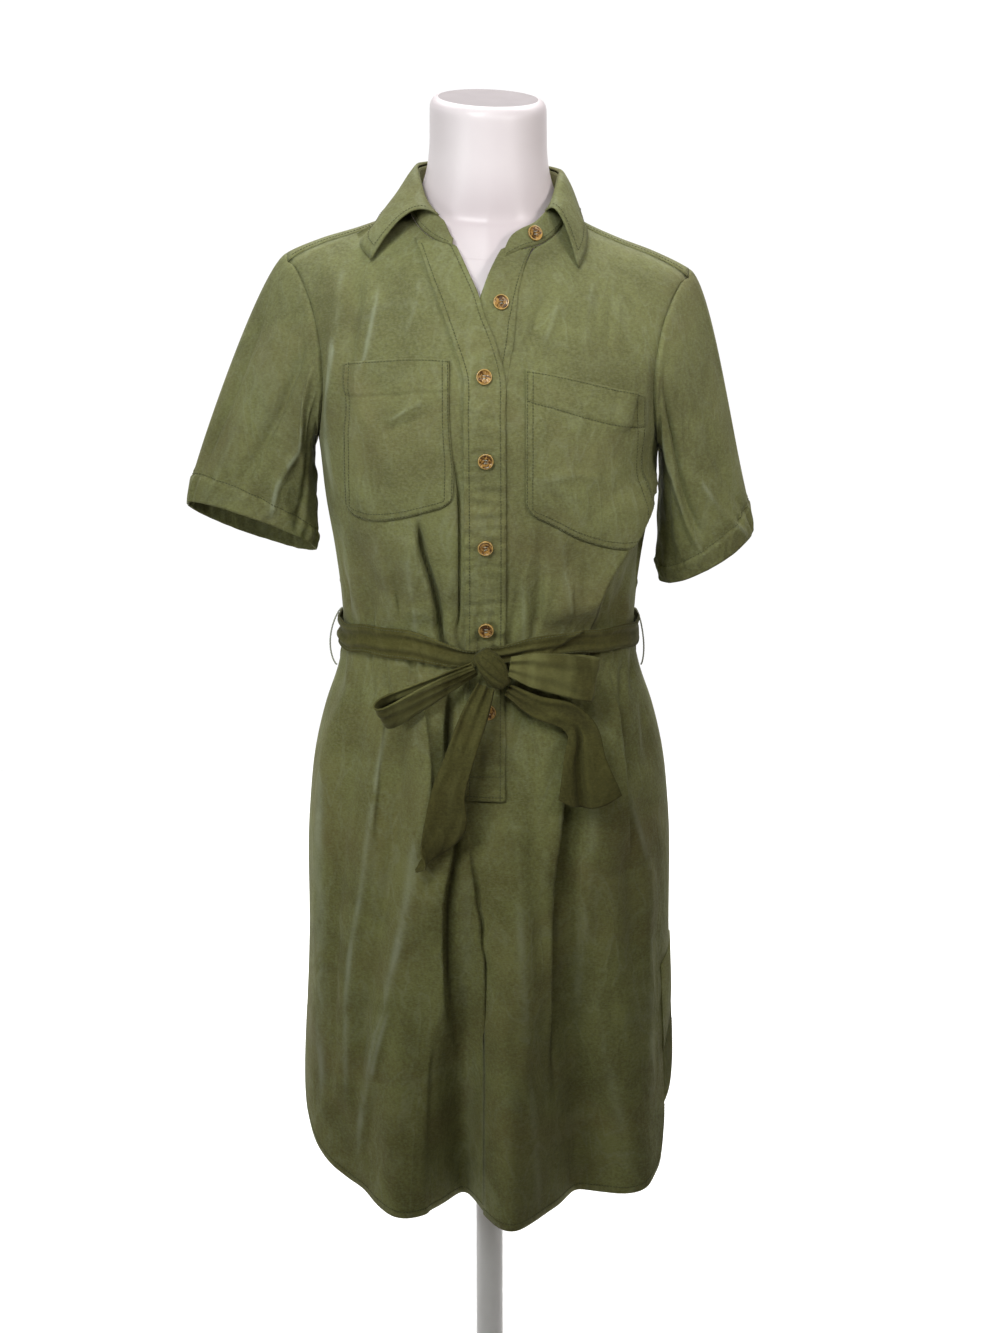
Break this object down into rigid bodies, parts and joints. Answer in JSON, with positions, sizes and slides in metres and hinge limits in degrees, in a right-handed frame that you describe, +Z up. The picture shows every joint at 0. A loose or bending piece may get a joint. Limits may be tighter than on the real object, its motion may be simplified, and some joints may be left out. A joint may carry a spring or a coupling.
{
  "type": "shirt dress on a dress form",
  "caption": "Short-sleeved button-front shirt dress with a pointed collar, chest pockets, a shirt-tail hem and a tied belt, on a limbless dress form with a pole and a round base.",
  "frame": {"origin": "middle of the underside of the round base", "axes": "+Z up, -Y the way the front of the dress faces, +X toward the wearer's left"},
  "size_m": [0.5544, 0.34, 1.4341],
  "materials": {
    "dress_cloth": "soft matt sueded twill, olive green, lightly creased",
    "belt_cloth": "the same cloth in two layers, matt dark olive",
    "thread": "twisted sewing thread, matt",
    "button": "mottled brown horn colour, glossy, dished, with sewing holes",
    "form_shell": "satin white shell, faintly pink",
    "stand_metal": "white powder coat on steel, satin"
  },
  "bodies": {
    "root": {"front": "dress_cloth", "back": "dress_cloth", "yoke": "dress_cloth", "placket_over": "dress_cloth", "placket_under": "dress_cloth", "pocket_left": "dress_cloth", "pocket_right": "dress_cloth", "sleeve_left": "dress_cloth", "sleeve_right": "dress_cloth", "collar_stand": "dress_cloth", "collar_leaf": "dress_cloth", "belt": "belt_cloth", "knot": "belt_cloth", "bow_loop_left": "belt_cloth", "bow_loop_right": "belt_cloth", "tail_left": "belt_cloth", "tail_right": "belt_cloth", "carrier_left": "thread", "carrier_right": "thread", "button_1": "button", "button_2": "button", "button_3": "button", "button_4": "button", "button_5": "button", "button_6": "button", "button_7": "button", "dress_form": "form_shell", "stand_base": "stand_metal", "stand_pole": "stand_metal"}
  },
  "joints": []
}
